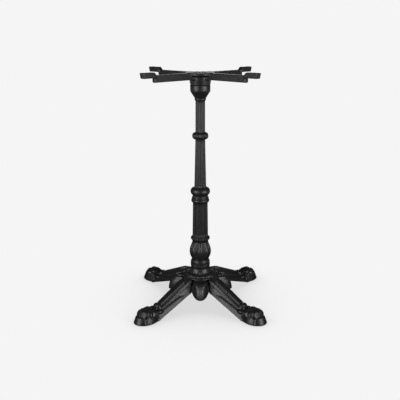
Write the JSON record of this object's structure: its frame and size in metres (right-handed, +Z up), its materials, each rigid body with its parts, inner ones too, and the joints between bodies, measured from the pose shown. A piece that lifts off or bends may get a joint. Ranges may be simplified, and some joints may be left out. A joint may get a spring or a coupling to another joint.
{
  "type": "table base",
  "caption": "Cast-iron bistro table base: fluted column with leaf bulb and rings on a paw-footed casting, with a spider of arms on top that takes a table top.",
  "frame": {"origin": "on the floor under the column axis", "axes": "+Z up along the column; legs and arms on the diagonals of X and Y; the picture looks along +Y"},
  "size_m": [0.3932, 0.3932, 0.72],
  "materials": {
    "black_iron": "satin black coat over a fine sand-cast skin",
    "steel": "plain zinc-coated steel, slightly dull"
  },
  "bodies": {
    "root": {"base_casting": "black_iron", "column": "black_iron", "top_spider": "black_iron", "tie_rod": "steel", "washers": "steel", "nuts": "steel"}
  },
  "joints": []
}
